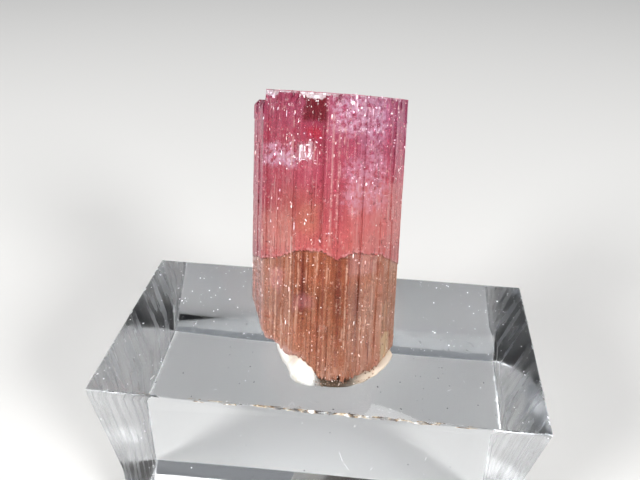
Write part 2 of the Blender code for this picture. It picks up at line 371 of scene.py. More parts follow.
def block_damage():
    """Scratches on the top and front faces, and the run of nicks along the edge between them."""
    chance = random.Random(31)
    bm = bmesh.new()
    right, back, up = Vector((1, 0, 0)), Vector((0, 1, 0)), Vector((0, 0, 1))

    def scratch(middle, along, aside, out, length, width):
        ends = (-0.5, -0.5), (0.5, -0.5), (0.5, 0.5), (-0.5, 0.5)
        bed = [middle + along * length * u + aside * width * v - out * SCRATCH_LIP / 2 for u, v in ends]
        raise_splinter(bm, bed, middle + along * length * chance.uniform(-0.3, 0.3) + out * SCRATCH_LIP)

    def on_top(across, inwards):
        return Vector((across, block_low.y + inwards, BLOCK_TOP))

    def in_front(across, down):
        below_rim = (down - BLOCK_RIM) / (BLOCK_DRAWN_IN - BLOCK_RIM)
        drawn = BLOCK_DRAW_FRONT_AND_BACK * min(max(below_rim, 0.0), 1.0)
        return Vector((across, block_low.y + drawn, BLOCK_TOP - down))

    faces = (SCRATCHES_ON_TOP, back, up, on_top), (SCRATCHES_IN_FRONT, up, -back, in_front)
    for rows, steep, out, place in faces:
        for across, off_edge, length, turn in rows:
            turn = math.radians(turn)
            along = (right * math.cos(turn) + steep * math.sin(turn)).normalized()
            middle = place(across * MM, off_edge * MM)
            scratch(middle, along, along.cross(out), out, length * MM, SCRATCH_WIDTH)
    edge = Vector((0.0, block_low.y + BLOCK_EDGE, BLOCK_TOP - BLOCK_EDGE))
    for _ in range(EDGE_NICKS):
        turn = math.radians(chance.uniform(5, 85))
        out = up * math.cos(turn) - back * math.sin(turn)
        middle = edge + right * chance.triangular(*EDGE_NICK_RUN) * MM + out * BLOCK_EDGE
        length = chance.uniform(*EDGE_NICK_LENGTH) * MM
        scratch(middle, right, out.cross(right), out, length, chance.uniform(*EDGE_NICK_WIDTH) * MM)
    bmesh.ops.recalc_face_normals(bm, faces=bm.faces)
    return bm


def settled_dust():
    finish = Finish("settled_dust")
    tone = finish.grain(finish.place(), 0.8)
    pale = tone.between(0.46, 0.56)
    finish.set(Base_Color=pale.blend(DUST_DARK, DUST_PALE), Roughness=tone * 0.4 + 0.4)
    return finish


def dust_on_block(block):
    """Specks lie thick in drifts on the flat top, and thinly on the sides."""
    growth = Growth("settled_dust", Specks_Per_mm2=1.4, Smallest=0.012 * MM, Largest=0.075 * MM, Seed=8)
    spots = growth.scattered(growth.given("Specks_Per_mm2"))
    height = growth.parts(growth.place())[2]
    on_top = height.between(BLOCK_TOP - 0.02 * MM, BLOCK_TOP - 0.01 * MM)
    drifts = growth.grain(growth.place(), 0.22 / MM).between(0.42, 0.60)
    keep = (on_top * (drifts * 0.65 + 0.25) + 0.08) * height.between(0.2 * MM, 0.4 * MM)
    swept = keep.math("LESS_THAN", growth.chance(0.0, 1.0, 6))
    lying = growth.node("GeometryNodeDeleteGeometry", {}, {"Geometry": spots, "Selection": swept})
    width = growth.width(3)
    facing = growth.turned(growth.point(0.0, 0.0, growth.chance(0.0, 3.1, 5)))
    size = growth.point(width * growth.chance(0.7, 2.0, 4), width, width * 0.6)
    return growth.finished(growth.grains(lying, facing, size), block.data, settled_dust())


block = set_down("polished_block", build_block(), scratched_acrylic())
block.data.shade_smooth()
block.data.set_sharp_from_angle(angle=math.radians(20))
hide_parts("display_block")
set_down("scratches", block_damage(), chipped_acrylic())
piece_of(dust_on_block(block), "settled_dust")

# ---- The tourmaline ----
# One natural prism in two colours, pink over brown. It grew as a bundle of parallel ribs, so its
# sides are combed with fine lengthwise steps, its top is flat and chipped, and its foot is torn.

CRYSTAL_LENGTH = 21.9 * MM
CRYSTAL_HALF_WIDTH = 6.55 * MM
CRYSTAL_HALF_DEPTH = 6.1 * MM
CRYSTAL_FOOT = Vector((-0.25 * MM, -0.35 * MM, BLOCK_TOP))
CRYSTAL_LEAN = Euler((math.radians(-20.8), math.radians(-0.95), 0.0))
CRYSTAL_TURN = CRYSTAL_LEAN.to_matrix()
CRYSTAL_PLACE = Matrix.Translation(CRYSTAL_FOOT) @ CRYSTAL_TURN.to_4x4()
PRISM_CORNERS = (
    (-0.96, -0.24), (-0.75, -0.66), (-0.28, -0.97), (0.40, -0.98), (0.82, -0.62), (0.985, -0.22),
    (0.96, 0.28), (0.64, 0.74), (0.10, 1.00), (-0.42, 0.88), (-0.85, 0.50),
)
RIB_PITCH = 0.52 * MM
RIB_WIDTHS = (0.5, 1.5)
RIB_RELIEF = 0.17 * MM
RIB_CHANGE = 0.25
RIB_SEED = 11
COLOUR_LINE = (  # across, up (mm)
    (-6.6, 7.5), (-3.4, 8.3), (-1.6, 9.2), (0.4, 9.2), (1.6, 8.6), (3.0, 9.2), (5.2, 8.8), (6.6, 7.5),
)
BREAK_LINE = (  # across, up (mm)
    (-6.6, 4.1), (-5.6, 2.3), (-4.5, 0.9), (-2.5, 0.3), (-1.2, -0.1), (-0.1, -0.9), (0.7, -2.0),
    (2.0, -2.6), (6.6, -2.6),
)
RIM_WEAR = (  # across, how deep the top edge is bruised (mm)
    (-6.6, 0.05), (-5.2, 0.40), (-4.2, 0.50), (-3.6, 0.10), (-2.4, 0.18), (-1.9, 0.05), (-1.4, 0.42),
    (-0.1, 0.48), (0.4, 0.22), (1.2, 0.06), (3.2, 0.02), (6.6, 0.06),
)
PINK_OVERHANG = 0.06 * MM
STEPS_IN_BROWN = (2.9 * MM, 5.4 * MM)
STEPS_IN_PINK = (11.6 * MM, 14.8 * MM, 17.6 * MM, 19.6 * MM)
STEP_RISE = 0.10 * MM
TOP_FALL = 0.035
TOP_ROUGH = 0.02 * MM
CHIP_DEPTH = 0.40 * MM
CHIP_CHOICES = (0.0, 0.0, 0.2, 0.5, 1.0)
SHOULDER_ACROSS = -4.9 * MM
SHOULDER_DROP = 0.85 * MM
SHOULDER_ROUND = 0.35 * MM
SPLINTER = 0.40 * MM
SPLINTER_PITCH = 1.6 * MM
TEETH = 1.5
TOOTH = 0.55 * MM
TOOTH_PITCH = 0.33 * MM
FOOT_INSET = 0.10 * MM
FOOT_CLEARANCE = 0.24 * MM
FOOT_HOLLOW = 1.3 * MM
FOOT_ROUGH = 0.12 * MM
HOLLOW_START = -1.2 * MM
HOLLOW_RUN = 1.8 * MM
FINE_STEP = 0.075 * MM  # between points round the prism
FINE_LEVEL = 0.21 * MM  # between rings up it
ROUGH_PITCH = 0.7 * MM
FOOT_RINGS = (0.93, 0.84, 0.72, 0.58, 0.42, 0.22)  # shares of the rim's size
SHOULDER_RINGS = (  # share, whether up on the top face, where the shoulder's wall holds it
    (0.98, False, None), (0.96, False, 1.01), (0.94, False, 1.01), (0.93, True, 0.99),
)
TOP_RINGS = (0.9, 0.8, 0.68, 0.54, 0.38, 0.2)


def height_on(line, across):
    place = min(max(across / MM, line[0][0]), line[-1][0])
    for (left, low), (right, high) in zip(line, line[1:]):
        if place <= right:
            return (low + (high - low) * (place - left) / (right - left)) * MM


def rib_edges():
    """Each rib's two edges on the section, the way out from it, and its number."""
    chance = random.Random(RIB_SEED)
    corners = [Vector((x * CRYSTAL_HALF_WIDTH, y * CRYSTAL_HALF_DEPTH)) for x, y in PRISM_CORNERS]
    ribs = []
    for start, end in zip(corners, corners[1:] + corners[:1]):
        side = end - start
        out = Vector((side.y, -side.x)).normalized()
        count = max(2, round(side.length / RIB_PITCH))
        widths = [chance.uniform(*RIB_WIDTHS) for _ in range(count)]
        reach = 0.0
        for width in widths:
            first = start + side * (reach / sum(widths))
            reach += width
            last = start + side * (reach / sum(widths))
            ribs.append((first, last, out, len(ribs)))
    return ribs


def rib_relief(rib_count, band_count):
    """How far each rib stands out in each band up the prism."""
    chance = random.Random(RIB_SEED + 1)
    bands = [[chance.uniform(0.0, RIB_RELIEF) for _ in range(rib_count)]]
    while len(bands) < band_count:
        changed = [chance.random() < RIB_CHANGE for _ in range(rib_count)]
        below = bands[-1]
        bands.append([chance.uniform(0.0, RIB_RELIEF) if new else old for old, new in zip(below, changed)])
    return bands


def foot_height(across, back, splinter):
    """The torn break's height, or the hollow over the putty where that is higher."""
    spot = Vector((across, back, 0.0))
    splinter += TOOTH * abs(noise.noise(spot / TOOTH_PITCH))
    torn = height_on(BREAK_LINE, across) + SPLINTER * noise.noise(spot / SPLINTER_PITCH) + splinter
    hollow = FOOT_HOLLOW * min(max((back - HOLLOW_START) / HOLLOW_RUN, 0.0), 1.0)
    above = FOOT_CLEARANCE + hollow + splinter * TEETH
    sideways = CRYSTAL_TURN[2][0] * across + CRYSTAL_TURN[2][1] * back
    return max(torn, (above - sideways) / CRYSTAL_TURN[2][2])


def top_height(across):
    return CRYSTAL_LENGTH - TOP_FALL * (across + CRYSTAL_HALF_WIDTH / 2)


class PrismMesh:
    """The prism's mesh as rings of points, each point knowing its way round and its way out."""

    def __init__(self):
        self.bm = bmesh.new()
        self.round = self.bm.verts.layers.float.new("round_mm")
        self.out = self.bm.verts.layers.float_vector.new("way_out")

    def ring(self, places):
        made = []
        for place, out, way_round in places:
            vert = self.bm.verts.new(place)
            vert[self.round] = way_round
            vert[self.out] = out
            made.append(vert)
        return made

    def join(self, lower, upper):
        for i, vert in enumerate(lower):
            after = (i + 1) % len(lower)
            self.bm.faces.new((vert, lower[after], upper[after], upper[i]))
        return upper

    def shrunk(self, rim, share, height_at, rough):
        """A ring inside the rim, at a share of its size, on a rough face."""
        places = []
        for vert in rim:
            x, y = vert.co.x * share, vert.co.y * share
            z = height_at(x, y) + rough * noise.noise(Vector((x, y, 0.0)) / ROUGH_PITCH)
            places.append(((x, y, z), (0.0, 0.0, 0.0), vert[self.round]))
        return self.ring(places)

    def close(self, rim, shares, height_at, rough):
        outer = rim
        for share in shares:
            outer = self.join(outer, self.shrunk(rim, share, height_at, rough))
        middle = self.bm.verts.new((0.0, 0.0, height_at(0.0, 0.0)))
        for i, vert in enumerate(outer):
            self.bm.faces.new((vert, outer[(i + 1) % len(outer)], middle))


def prism_points(ribs):
    """Points round the section: (place, way out, way round in mm, rib number)."""
    points = []
    way_round = 0.0
    for first, last, out, number in ribs:
        side = last - first
        count = max(2, round(side.length / FINE_STEP))
        for i in range(count + 1):
            share = i / count
            points.append((first + side * share, out, (way_round + side.length * share) / MM, number))
        way_round += side.length
    return points


def build_prism():
    ribs = rib_edges()
    points = prism_points(ribs)
    bands = rib_relief(len(ribs), len(STEPS_IN_BROWN) + len(STEPS_IN_PINK) + 2)
    chance = random.Random(RIB_SEED + 2)
    splinters = [chance.uniform(0.0, SPLINTER) for _ in ribs]
    chips = [chance.choice(CHIP_CHOICES) * CHIP_DEPTH for _ in ribs]
    prism = PrismMesh()

    def ring_at(height_at, relief, overhang=0.0, chipped=False):
        places = []
        for spot, out, way_round, number in points:
            stand = relief[number] + overhang
            if chipped:
                stand -= chips[number] + (SHOULDER_ROUND if spot.x < SHOULDER_ACROSS else 0.0)
            x, y = spot + out * stand
            places.append(((x, y, height_at(x, y, number)), (out.x, out.y, 0.0), way_round))
        return prism.ring(places)

    def rim_height(x, y, number):
        return top_height(x) - chips[number] - (SHOULDER_DROP if x < SHOULDER_ACROSS else 0.0)

    def under_rim_height(x, y, number):
        drop = SHOULDER_ROUND if x < SHOULDER_ACROSS else STEP_RISE
        return rim_height(x, y, number) - chips[number] - drop

    def foot_ring_height(x, y, number):
        return foot_height(x, y, splinters[number])

    def step(height):
        return lambda x, y, number: max(height, foot_ring_height(x, y, number) + 2 * STEP_RISE)

    def part_way(start, end, rise, share):
        return lambda x, y, number: start(x, y, number) * (1 - share) + (end(x, y, number) - rise) * share

    # Each stretch ends at a height, with an overhang below that end and another above it
    stretches = [(step(height), 0.0, 0.0) for height in STEPS_IN_BROWN]
    stretches.append((lambda x, y, number: height_on(COLOUR_LINE, x), 0.0, PINK_OVERHANG))
    stretches += [(step(height), PINK_OVERHANG, PINK_OVERHANG) for height in STEPS_IN_PINK]
    stretches.append((under_rim_height, PINK_OVERHANG, None))
    start = foot_ring_height
    foot = outer = ring_at(start, bands[0])
    for band, (end, below, above) in enumerate(stretches):
        rise = 0.0 if above is None else STEP_RISE
        run = end(0.0, 0.0, 0) - start(0.0, 0.0, 0)
        levels = max(2, round(run / FINE_LEVEL))
        for level in range(1, levels + 1):
            height_at = part_way(start, end, rise, level / levels)
            outer = prism.join(outer, ring_at(height_at, bands[band], below))
        if above is not None:
            outer = prism.join(outer, ring_at(end, bands[band + 1], above))
        start = end
    rim = prism.join(outer, ring_at(rim_height, bands[len(stretches) - 1], PINK_OVERHANG, chipped=True))
    close_prism_top(prism, rim)
    inset = ring_at(lambda x, y, number: foot_height(x, y, 0.0), [0.0] * len(ribs), -FOOT_INSET)
    prism.join(foot, inset)
    prism.close(inset, FOOT_RINGS, lambda x, y: foot_height(x, y, 0.0), FOOT_ROUGH)
    bmesh.ops.remove_doubles(prism.bm, verts=prism.bm.verts, dist=SAME_PLACE)
    bmesh.ops.dissolve_degenerate(prism.bm, edges=prism.bm.edges, dist=SAME_PLACE)
    bmesh.ops.transform(prism.bm, matrix=CRYSTAL_PLACE, verts=prism.bm.verts)
    for vert in prism.bm.verts:
        vert[prism.out] = CRYSTAL_TURN @ vert[prism.out]
    bmesh.ops.recalc_face_normals(prism.bm, faces=prism.bm.faces)
    return prism.bm


def close_prism_top(prism, rim):
    """The flat top face, with the left-hand column's low shoulder and the wall behind it."""
    outer = rim
    for share, raised, wall in SHOULDER_RINGS:
        places = []
        for vert in rim:
            x, y = vert.co.x * share, vert.co.y * share
            on_shoulder = vert.co.x < SHOULDER_ACROSS
            height = top_height(x) - (SHOULDER_DROP if on_shoulder and not raised else 0.0)
            if on_shoulder and wall:
                x = SHOULDER_ACROSS * wall
            places.append(((x, y, height), (0.0, 0.0, 0.0), vert[prism.round]))
        outer = prism.join(outer, prism.ring(places))
    prism.close(outer, TOP_RINGS, lambda x, y: top_height(x), TOP_ROUGH)


def on_crystal(growth):
    """Distances across, back and up the crystal from its foot, in mm."""
    from_foot = {0: growth.place(), 1: CRYSTAL_FOOT}
    apart = growth.node("ShaderNodeVectorMath", {"operation": "SUBTRACT"}, from_foot)

    def along(way):
        return growth.node("ShaderNodeVectorMath", {"operation": "DOT_PRODUCT"}, {0: apart, 1: way}, out=1)

    return [along(way) / MM for way in CRYSTAL_TURN.col]


def comb_with_ribs(bm, finish):
    """Combs fine lengthwise steps, and the small pits between them, into the plain ribs."""
    depths = {"Step_Depth": 0.05 * MM, "Pit_Depth": 0.07 * MM}
    growth = Growth("fine_ribbing", Steps_Per_mm=3.6, Rungs_Per_mm=0.22, **depths)
    way_round = growth.attribute("round_mm")
    height = on_crystal(growth)[2]
    steps = growth.point(way_round * growth.given("Steps_Per_mm"), height * growth.given("Rungs_Per_mm"), 3.7)
    pits = growth.grain(growth.point(way_round * 2.0, height * 0.9), 1.6).between(0.64, 0.72)
    depth = growth.tablets(steps) * growth.given("Step_Depth") + pits * growth.given("Pit_Depth")
    inwards = growth.attribute("way_out", "FLOAT_VECTOR").scale(depth * -1)
    moved = growth.node("GeometryNodeSetPosition", {}, {"Geometry": growth.base, "Offset": inwards})
    return growth.finished(moved, plain_mesh("plain_prism", bm), finish)


BROWN_DARK = (0.20, 0.045, 0.025)
BROWN_DEEP = (0.43, 0.145, 0.068)
BROWN_WARM = (0.62, 0.275, 0.165)
BROWN_PALE = (0.80, 0.47, 0.36)
COLUMN_PALE = (0.98, 0.76, 0.76)
TAN = (0.66, 0.38, 0.24)
GOLD = (1.0, 0.78, 0.46)
BLUSH = (0.82, 0.34, 0.36)
BREAK_PALE = (0.95, 0.66, 0.60)
ROSE_DARK = (0.34, 0.025, 0.06)
ROSE_DEEP = (0.60, 0.10, 0.165)
ROSE_WARM = (0.80, 0.24, 0.32)
ROSE_PALE = (0.92, 0.48, 0.50)
CORAL_DARK = (0.40, 0.05, 0.045)
CORAL_DEEP = (0.66, 0.145, 0.155)
CORAL_PALE = (0.88, 0.38, 0.33)
VIOLET_DARK = (0.28, 0.035, 0.10)
VIOLET_DEEP = (0.50, 0.10, 0.22)
VIOLET_PALE = (0.78, 0.36, 0.55)
BUFF = (0.74, 0.40, 0.32)
DUSK = (0.36, 0.055, 0.085)
CRIMSON = (0.55, 0.02, 0.05)
MAROON = (0.15, 0.008, 0.016)
VEIL = (0.93, 0.66, 0.86)
BRUISE = (0.97, 0.90, 0.94)
SEAM_DARK = (0.10, 0.02, 0.018)
PEACH = (0.98, 0.64, 0.48)
HIGHLIGHT_PALE = (1.0, 0.72, 0.66)
THREAD_DARK = (0.16, 0.015, 0.025)
ABSORBED_TO = (0.88, 0.35, 0.33)
ABSORPTION = 110.0
LINE_SPAN = 13.2  # mm across that a drawn line covers
LINE_RISE = 10.0  # mm up that it covers
BREAK_LOWEST = -3.0

# Patches of colour: left, right, low, high, softness (mm), and in tables a strength and a colour too
UNDER_LINE = (-5.0, 5.2, -5.2, 0.2, 0.6)  # up from the line between the colours
GOLDEN_CORNER = (5.48, 6.10, -2.2, 1.6, 0.12)
GOLDEN_TRACE = (5.4, 5.95, 1.0, 4.5, 0.3)
ROSE_REMNANT = (2.7, 4.9, 7.3, 9.4, 0.4)
DARK_BANDS_IN_BROWN = (0.2, 2.4, -1.0, 9.5, 0.5, 1.0), (-2.2, -0.8, 3.6, 9.6, 0.4, 1.0)
VEILS = (
    (1.0, 5.0, 18.7, 21.6, 0.5, 1.0), (-5.0, -1.9, 15.9, 17.6, 0.4, 1.0),
    (3.3, 4.8, 16.6, 19.2, 0.3, 0.6), (1.9, 5.2, 12.6, 16.6, 0.7, 0.65),
)
HEALED_CRACKS = (-1.8, -0.6, 16.5, 17.85, 0.15, 1.0), (-3.8, -1.9, 16.5, 17.0, 0.2, 0.5)
BLUSH_IN_BROWN = (-4.4, -3.0, 5.5, 7.3, 0.4, 0.45, BLUSH), (-1.8, -0.3, 4.3, 5.4, 0.4, 0.4, BLUSH)
CLOUDS_IN_PINK = (
    (-5.0, 3.4, 11.0, 22.5, 1.3, 0.42, DUSK),
    (2.2, 7.0, 9.0, 14.8, 0.9, 0.3, CORAL_PALE),
    (-6.6, -1.9, 9.0, 12.2, 0.8, 0.4, BUFF),
)
BLOTS_BY_TOP = (
    (-1.55, 0.35, 19.5, 21.8, 0.25, 0.95, MAROON),
    (-1.7, 0.3, 17.3, 19.4, 0.4, 0.55, ROSE_DARK),
    (-1.2, 0.1, 18.2, 19.1, 0.25, 0.7, CRIMSON),
)
BROWN_IN_PINK = (-3.4, 0.2, 10.4, 14.2, 0.9, 0.28, BROWN_DEEP), (-1.6, 0.0, 10.8, 12.8, 0.5, 0.4, BROWN_WARM)
# Single ribs given painted highlights
PAINTED_RIB_HIGHLIGHTS = (  # across, from, to, half width (mm), strength
    (-4.98, 8.6, 10.4, 0.06, 0.8), (-4.1, 3.0, 9.6, 0.05, 0.7), (-3.55, 1.2, 7.4, 0.06, 0.8),
    (-2.95, 0.3, 3.4, 0.07, 0.9), (-2.19, 0.4, 10.2, 0.07, 0.9), (-1.55, 3.4, 9.0, 0.05, 0.6),
    (0.02, 7.2, 9.1, 0.05, 0.7), (0.95, 9.6, 20.4, 0.08, 0.38), (1.45, 10.4, 19.4, 0.08, 0.35),
    (2.45, 1.0, 8.6, 0.06, 0.7), (3.7, 1.6, 3.6, 0.07, 0.8), (4.55, -0.6, 8.4, 0.05, 0.6),
)
DARK_RIBS = (
    (-5.15, 16.2, 19.5, 0.1, 0.6), (-3.86, 17.4, 21.4, 0.06, 0.55), (-2.95, 10.4, 16.0, 0.05, 0.35),
    (-1.75, 17.0, 21.3, 0.08, 0.45), (0.22, 9.6, 20.8, 0.14, 0.45), (1.2, 9.4, 19.0, 0.06, 0.35),
    (4.55, 14.4, 16.8, 0.05, 0.6), (5.35, 17.0, 21.6, 0.1, 0.35), (0.55, -1.0, 8.8, 0.1, 0.45),
    (1.85, -0.6, 8.6, 0.12, 0.45), (-1.25, 3.9, 8.9, 0.12, 0.4), (3.35, 0.5, 7.0, 0.06, 0.35),
    (4.45, -0.8, 1.8, 0.05, 0.5),
)


def layered(colour, *layers):
    """Lays each tint over the colour by its mask."""
    for mask, tint in layers:
        colour = mask.blend(colour, tint)
    return colour


def tourmaline():
    """Rose over brown, streaked along the ribs, clear enough to see into."""
    finish = Finish("bicolour_tourmaline", IOR=1.63, Transmission_Weight=0.6)
    upright = {"Vector": finish.place(), "Location": CRYSTAL_FOOT / MM, "Rotation": CRYSTAL_LEAN}
    place = finish.node("ShaderNodeMapping", {"vector_type": "TEXTURE"}, upright)
    across, back, up = finish.parts(place)
    way_round = finish.node("ShaderNodeAttribute", {"attribute_name": "round_mm"}, out=2)
    front = 1 - back.between(-3.2, -2.2)

    def drawn_line(points, lowest=0.0):
        """The height in mm of a line drawn across the front."""
        stops = [(x / LINE_SPAN + 0.5, (height - lowest) / LINE_RISE) for x, height in points]
        return finish.ramp(across / LINE_SPAN + 0.5, *stops) * LINE_RISE + lowest

    def streaks(scale, stretch, detail=2.0, layer=0.0):
        return finish.grain(finish.point(way_round, up * stretch, layer), scale, detail)

    # Streaks follow the ribs: flat tablets, fine threads and broad bands
    fine = streaks(5.0, 0.06, detail=3.0)
    broad = streaks(0.9, 0.06)
    threads_and_highlights = streaks(6.5, 0.03, detail=1.0, layer=4.0)
    tablets = finish.tablets(finish.point(way_round * 2.1, up * 0.16, 1.5))
    cloud = finish.grain(place, 0.28, detail=4.0, roughness=0.6)
    drift = finish.grain(place, 0.8, detail=3.0, roughness=0.6)
    mottle = finish.grain(place, 2.6, detail=4.0, roughness=0.7)
    wander = (drift - 0.5) * 1.6
    spread = across + wander
    rise = up + wander

    def shaded(broadly, finely, by_tablet, mottled):
        streaky = (broad - 0.5) * broadly + (fine - 0.5) * finely + (tablets - 0.5) * by_tablet
        return streaky + (mottle - 0.5) * mottled + 0.5

    def stains(rows, where=1.0):
        for *edges, strength, tint in rows:
            yield finish.patch(spread, rise, *edges) * where * strength, tint

    def lines(rows, waver, soft, where, tint):
        swayed = across + (fine - 0.5) * waver, up + wander * 0.3
        for at, low, high, width, strength in rows:
            line = finish.patch(*swayed, at - width, at + width, low, high, soft)
            yield line * front * where * strength, tint

    # Where the brown foot ends, with a dark seam under the line and a painted highlight band just over it
    over_line = up - drawn_line(COLOUR_LINE) + (fine - 0.5) * 0.5
    pink = over_line.between(-0.03, 0.05)
    seam = over_line.between(-0.22, -0.04) * (1 - over_line.between(-0.04, 0.02))
    # Painted highlight: a pale band just over the line between the colours
    seam_highlight_band = over_line.between(0.03, 0.08) * (1 - over_line.between(0.14, 0.30))

    # The brown foot, golden at its right corner and pale in the left-hand column, where it is torn
    under_line = finish.patch(across, over_line, *UNDER_LINE)
    dark_bands = finish.patches(spread, rise, *DARK_BANDS_IN_BROWN)
    shade = shaded(broadly=0.9, finely=0.65, by_tablet=0.25, mottled=0.3)
    shade += (1 - up.between(-1.0, 3.5)) * 0.16 + 0.04 - under_line * 0.12 - dark_bands * 0.16
    browns = finish.ramp(shade, (0.0, BROWN_DARK), (0.4, BROWN_DEEP), (0.7, BROWN_WARM), (1.0, BROWN_PALE))
    golden = finish.patch(across + (fine - 0.5) * 0.3, rise, *GOLDEN_CORNER)
    golden += finish.patch(across, rise, *GOLDEN_TRACE) * 0.2
    rungs = finish.grain(finish.point(way_round * 0.7, up * 3.2, 9.0), 1.0)
    over_break = up - drawn_line(BREAK_LINE, BREAK_LOWEST) - (mottle - 0.5) * 1.2
    brown = layered(
        browns,
        (across.between(5.2, 6.2) * 0.6, TAN),
        (golden, GOLD),
        (finish.patch(across, up, *ROSE_REMNANT) * front * 0.3, ROSE_PALE),
        *stains(BLUSH_IN_BROWN),
        ((1 - across.between(-5.2, -4.6)) * (0.42 + rungs.between(0.4, 0.62) * 0.5), COLUMN_PALE),
        ((1 - across.between(-5.0, -2.6)) * 0.25, BROWN_PALE),
        (across.between(2.6, 4.0) * (1 - up.between(4.5, 8.0)) * 0.2, BROWN_PALE),
        ((1 - over_break.between(0.2, 0.7)) * (1 - across.between(-2.4, -0.6)) * 0.55, BREAK_PALE),
    )

    # The pink cap, coral low down, rose in the middle and violet at the top
    shade = shaded(broadly=0.8, finely=0.9, by_tablet=0.22, mottled=0.6)
    rose = finish.ramp(shade, (0.0, ROSE_DARK), (0.42, ROSE_DEEP), (0.75, ROSE_WARM), (1.0, ROSE_PALE))
    coral = finish.ramp(shade, (0.0, CORAL_DARK), (0.45, CORAL_DEEP), (1.0, CORAL_PALE))
    violet = finish.ramp(shade, (0.0, VIOLET_DARK), (0.45, VIOLET_DEEP), (1.0, VIOLET_PALE))
    veil = finish.patches(spread, rise, *VEILS)
    healed = finish.patches(spread, rise, *HEALED_CRACKS)
    cap = layered(
        rose,
        (1 - (up + (cloud - 0.5) * 5.0).between(10.0, 16.5), coral),
        ((up + (cloud - 0.5) * 7.0 + across * 0.3).between(15.0, 22.5), violet),
        *stains(CLOUDS_IN_PINK),
        *stains(BLOTS_BY_TOP, front),
        ((1 - across.between(-5.3, -4.8)) * 0.4, VIOLET_DEEP),
        *stains(BROWN_IN_PINK, front),
        (veil * front * mottle.between(0.36, 0.62) * 0.75, VEIL),
        (healed * front * fine.between(0.35, 0.55) * 0.6, BRUISE),
    )

    # Over both: specks, the seam between them, and threads and ribs darker than the rest. The pale
    # specks, the band just over the seam and the pale threads and ribs are painted highlights
    speck = finish.grain(place, 3.6)
    # Tint of the painted highlights: peach over the brown, paler over the pink
    painted_highlight = pink.blend(PEACH, HIGHLIGHT_PALE)
    colour = layered(
        pink.blend(brown, cap),
        ((1 - speck.between(0.30, 0.37)) * drift.between(0.40, 0.55) * 0.6, THREAD_DARK),
        # Pale specks: painted glints
        (speck.between(0.63, 0.70) * drift.between(0.36, 0.52) * 0.55, painted_highlight),
        (seam * (drift.between(0.35, 0.55) * 0.5 + 0.3), SEAM_DARK),
        # The band just over the seam: painted highlight
        (seam_highlight_band * mottle.between(0.42, 0.60) * 0.6, ROSE_PALE),
        # Pale threads along the ribs: painted highlights
        (threads_and_highlights.between(0.60, 0.70) * drift.between(0.42, 0.58) * 0.5, painted_highlight),
        ((1 - threads_and_highlights.between(0.30, 0.38)) * drift.between(0.40, 0.60) * 0.45, THREAD_DARK),
        # Pale lines on single ribs: painted highlights
        *lines(PAINTED_RIB_HIGHLIGHTS, 0.12, 0.05, mottle.between(0.34, 0.56), painted_highlight),
        *lines(DARK_RIBS, 0.2, 0.06, fine.between(0.3, 0.6), THREAD_DARK),
    )

    # Bruised white along the top edge, deepest where it is chipped
    below_top = across * -TOP_FALL + (CRYSTAL_LENGTH - TOP_FALL * CRYSTAL_HALF_WIDTH / 2) / MM - up
    top_face = 1 - below_top.between(0.03, 0.07)
    bruised = 1 - (below_top - drawn_line(RIM_WEAR) - (mottle - 0.5) * 1.1).between(-0.06, 0.10)
    colour = layered(
        colour,
        (top_face, drift.between(0.35, 0.65).blend(VIOLET_DEEP, ROSE_DEEP)),
        (bruised * (1 - top_face) * front * (0.68 + fine.between(0.3, 0.6) * 0.3), BRUISE),
    )
    silky = streaks(9.0, 0.06).between(0.35, 0.7) * 0.18 + mottle.between(0.5, 0.75) * 0.14
    finish.set(Base_Color=colour, Roughness=silky + top_face * (mottle * 0.3 + 0.1) + 0.07)
    finish.set(Normal=finish.raised(streaks(16.0, 0.15) + finish.grain(place, 7.0) * 0.3, 0.02 * MM))
    finish.soak(ABSORBED_TO, ABSORPTION)
    return finish


crystal = piece_of(comb_with_ribs(build_prism(), tourmaline()), "ribbed_prism")
crystal.data.shade_smooth()
crystal.data.set_sharp_from_angle(angle=math.radians(28))
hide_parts("tourmaline_crystal")

# ---- The marks in and on the tourmaline ----
# Healed cracks silvered with tiny flakes lie close under the front. The face over them is nicked,
# so splinters and pits flash white, and grains of grit cling along the ribs all round.

